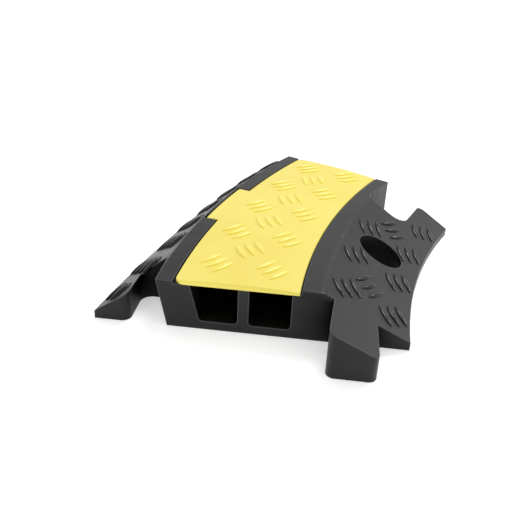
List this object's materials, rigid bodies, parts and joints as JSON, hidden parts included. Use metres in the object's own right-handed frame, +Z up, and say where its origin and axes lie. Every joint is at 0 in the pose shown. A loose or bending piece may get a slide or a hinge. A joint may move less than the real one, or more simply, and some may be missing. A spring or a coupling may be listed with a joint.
{
  "type": "cable protector ramp",
  "caption": "Curved section of a floor cable ramp: black rubber base with sloped sides, cable channels, interlocking ends and a yellow hinged lid.",
  "frame": {"origin": "on the ground under the middle of the lid, on the line that halves the bend", "axes": "+Z up, +X towards the centre of the bend, +Y along the cables"},
  "size_m": [0.303, 0.4487, 0.052],
  "materials": {
    "base_rubber": "satin moulded rubber with a raised bar tread",
    "lid_plastic": "semi-gloss moulded plastic with a raised bar tread",
    "rod_steel": "plain drawn steel"
  },
  "bodies": {
    "base": {"ramp_base": "base_rubber", "hinge_rod": "rod_steel"},
    "lid": {"lid": "lid_plastic"}
  },
  "joints": [
    {"name": "lid_hinge", "type": "hinge", "parent": "base", "child": "lid", "pos_m": [-0.0679, 0, 0.046], "axis": [0, -1, 0], "range_deg": [0, 100]}
  ]
}
